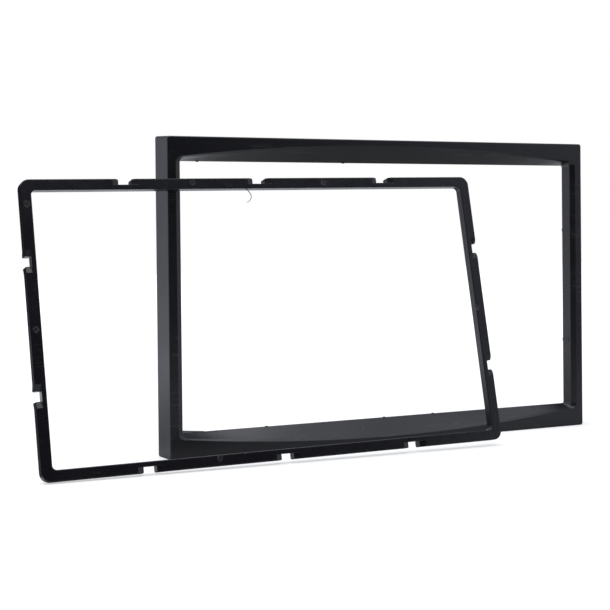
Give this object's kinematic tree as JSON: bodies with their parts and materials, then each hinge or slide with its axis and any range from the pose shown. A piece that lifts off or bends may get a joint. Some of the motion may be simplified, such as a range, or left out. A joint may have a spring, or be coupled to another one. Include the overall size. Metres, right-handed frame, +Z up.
{
  "type": "car radio mounting frame",
  "caption": "Black plastic double-height car radio fascia frame standing upright, with its slim adapter ring leaning on the front.",
  "frame": {"origin": "middle of the fascia frame's lower wall, on the flat surface that both pieces stand on", "axes": "+X to the right along the fascia's width, +Y to the back, from the fascia's front face to its open rear rim, +Z up"},
  "size_m": [0.2453, 0.0411, 0.1205],
  "materials": {
    "fascia_plastic": "satin black, very finely grained",
    "ring_plastic": "smooth semi-gloss black, as moulded"
  },
  "bodies": {
    "root": {"fascia_frame": "fascia_plastic", "insert_ring": "ring_plastic"}
  },
  "joints": []
}
